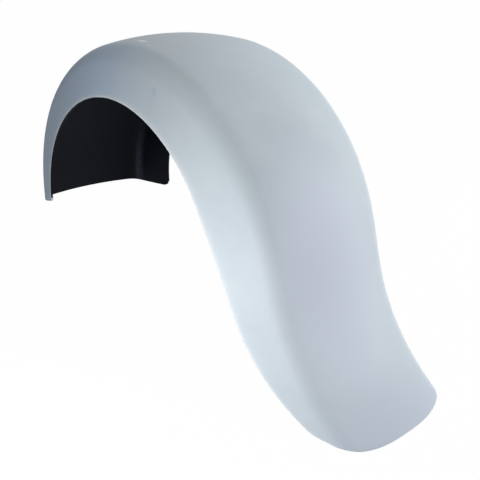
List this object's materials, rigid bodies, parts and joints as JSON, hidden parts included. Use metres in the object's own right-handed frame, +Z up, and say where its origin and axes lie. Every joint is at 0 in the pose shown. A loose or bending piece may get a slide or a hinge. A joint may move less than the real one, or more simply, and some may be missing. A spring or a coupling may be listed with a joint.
{
  "type": "motorcycle rear fender",
  "caption": "Rear fender shell: an arched crown with rolled shoulders and deep plain skirts wraps a wide tyre and flares into a short rounded tail.",
  "frame": {"origin": "on the ground below the middle of the fender, with the fender standing on its front edge and its tail", "axes": "+X forward, +Y to the left of the motorcycle, +Z up"},
  "size_m": [0.8584, 0.285, 0.399],
  "materials": {
    "coat": "satin pale blue-grey coat on a glass-fibre laminate, black inside"
  },
  "bodies": {
    "root": {"fender": "coat"}
  },
  "joints": []
}
